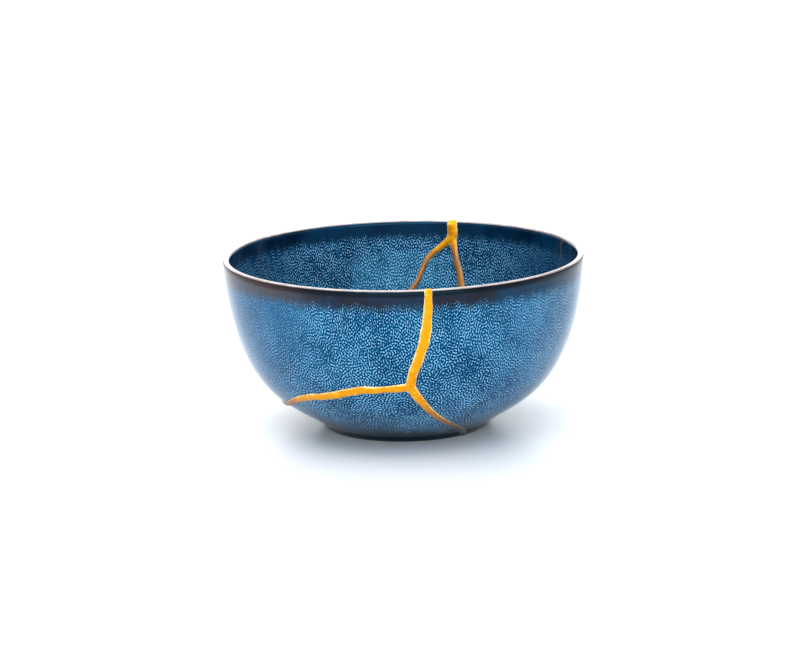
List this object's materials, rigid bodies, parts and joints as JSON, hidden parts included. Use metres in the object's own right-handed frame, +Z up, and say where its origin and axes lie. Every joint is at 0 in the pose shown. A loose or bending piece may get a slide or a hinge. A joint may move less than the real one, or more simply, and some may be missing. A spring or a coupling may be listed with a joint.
{
  "type": "kintsugi bowl",
  "caption": "Round footed stoneware bowl with a mottled blue glaze and dark rim, mended with raised gold lacquer seams that branch over the wall and foot.",
  "frame": {"origin": "centre of the foot ring, on the plane that the bowl stands on", "axes": "+Z up through the mouth, -Y towards the front with the forked seam, +X to the right of the front"},
  "size_m": [0.15, 0.1502, 0.0725],
  "materials": {
    "blue_glaze": "glossy mottled blue glaze with a dark brown lip",
    "gold_lacquer": "gold-dusted lacquer bead, satin to gloss"
  },
  "bodies": {
    "root": {"left_sherd": "blue_glaze", "right_sherd": "blue_glaze", "foot_sherd": "blue_glaze", "gold_seam": "gold_lacquer"}
  },
  "joints": []
}
